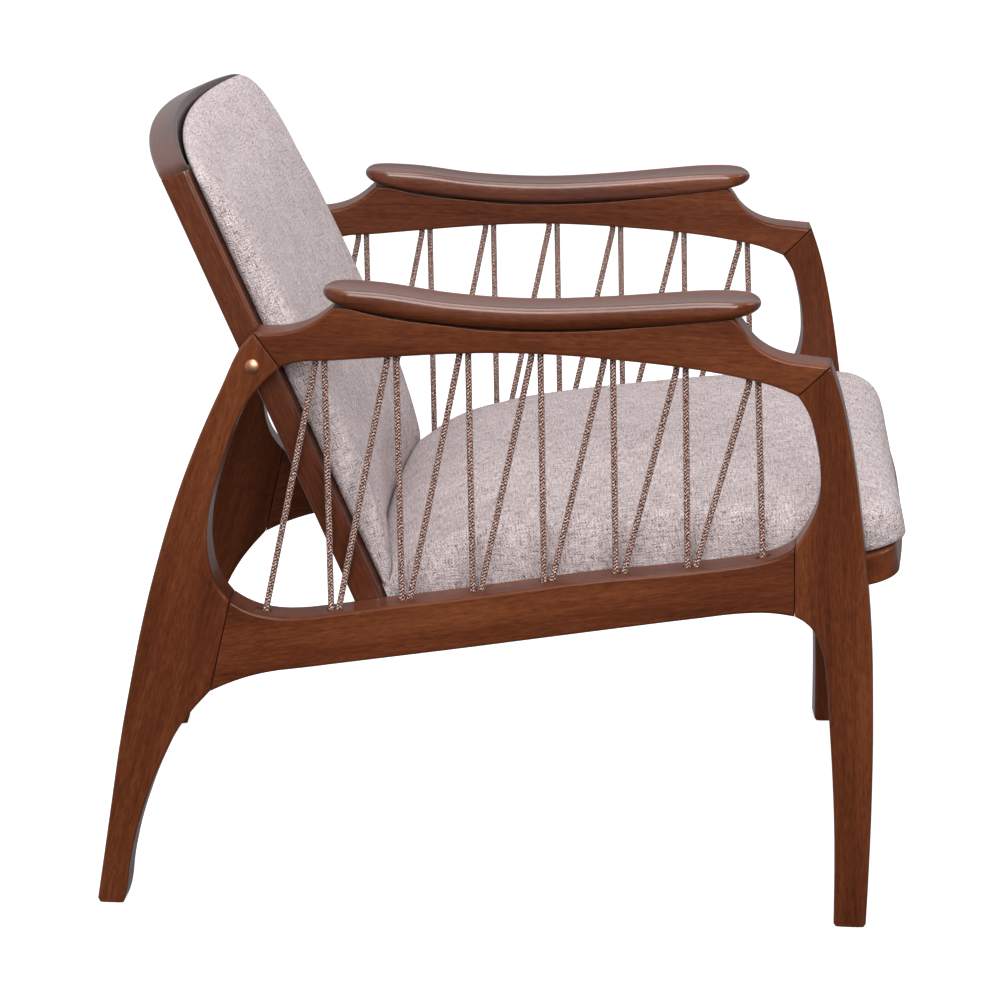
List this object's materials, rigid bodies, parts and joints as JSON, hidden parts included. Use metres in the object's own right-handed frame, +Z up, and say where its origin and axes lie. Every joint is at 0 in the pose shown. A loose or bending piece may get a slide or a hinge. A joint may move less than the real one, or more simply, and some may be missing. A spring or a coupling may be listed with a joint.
{
  "type": "wooden armchair",
  "caption": "Mid-century style wooden easy chair with cord-laced open sides, dished armrests and a pale linen padded seat and reclined back.",
  "frame": {"origin": "on the floor, under the middle of the chair's bounding box", "axes": "+Z up, -Y towards the front of the chair, +X towards the sitter's left"},
  "size_m": [0.7004, 0.8011, 0.7527],
  "materials": {
    "stained_wood": "dark reddish-brown stained hardwood, satin lacquer",
    "beech": "unfinished pale hardwood, hidden in the joints",
    "plywood": "plain plywood",
    "linen": "greige linen-look weave with darker flecks",
    "braided_cord": "beige-brown braided cord with dark flecks",
    "copper_cap": "copper-coloured domed cap, satin",
    "steel": "plain steel fastener"
  },
  "bodies": {
    "root": {"arm_rail_left": "stained_wood", "arm_rail_right": "stained_wood", "armrest_dowel_front_left": "beech", "armrest_dowel_front_right": "beech", "armrest_dowel_rear_left": "beech", "armrest_dowel_rear_right": "beech", "armrest_left": "stained_wood", "armrest_right": "stained_wood", "back_bolt_left": "steel", "back_bolt_right": "steel", "back_lower_rail": "stained_wood", "back_pad": "linen", "back_panel": "plywood", "bolt_cap_left": "copper_cap", "bolt_cap_right": "copper_cap", "crest_dowel_left": "beech", "crest_dowel_right": "beech", "crest_rail": "stained_wood", "front_leg_left": "stained_wood", "front_leg_right": "stained_wood", "lacing_cord_left": "braided_cord", "lacing_cord_right": "braided_cord", "lower_rail_dowel_left": "beech", "lower_rail_dowel_right": "beech", "rear_leg_left": "stained_wood", "rear_leg_right": "stained_wood", "seat_board": "plywood", "seat_dowel_front_left": "beech", "seat_dowel_front_right": "beech", "seat_dowel_rear_left": "beech", "seat_dowel_rear_right": "beech", "seat_front_rail": "stained_wood", "seat_pad": "linen", "seat_rear_rail": "stained_wood", "seat_screw_front_left": "steel", "seat_screw_front_right": "steel", "seat_screw_rear_left": "steel", "seat_screw_rear_right": "steel", "seat_side_rail_left": "stained_wood", "seat_side_rail_right": "stained_wood", "side_rail_left": "stained_wood", "side_rail_right": "stained_wood", "stile_left": "stained_wood", "stile_right": "stained_wood", "stile_screw_left": "steel", "stile_screw_right": "steel", "tenon_front_arm_left": "beech", "tenon_front_arm_right": "beech", "tenon_front_side_left": "beech", "tenon_front_side_right": "beech", "tenon_rear_arm_left": "beech", "tenon_rear_arm_right": "beech", "tenon_rear_side_left": "beech", "tenon_rear_side_right": "beech"}
  },
  "joints": []
}
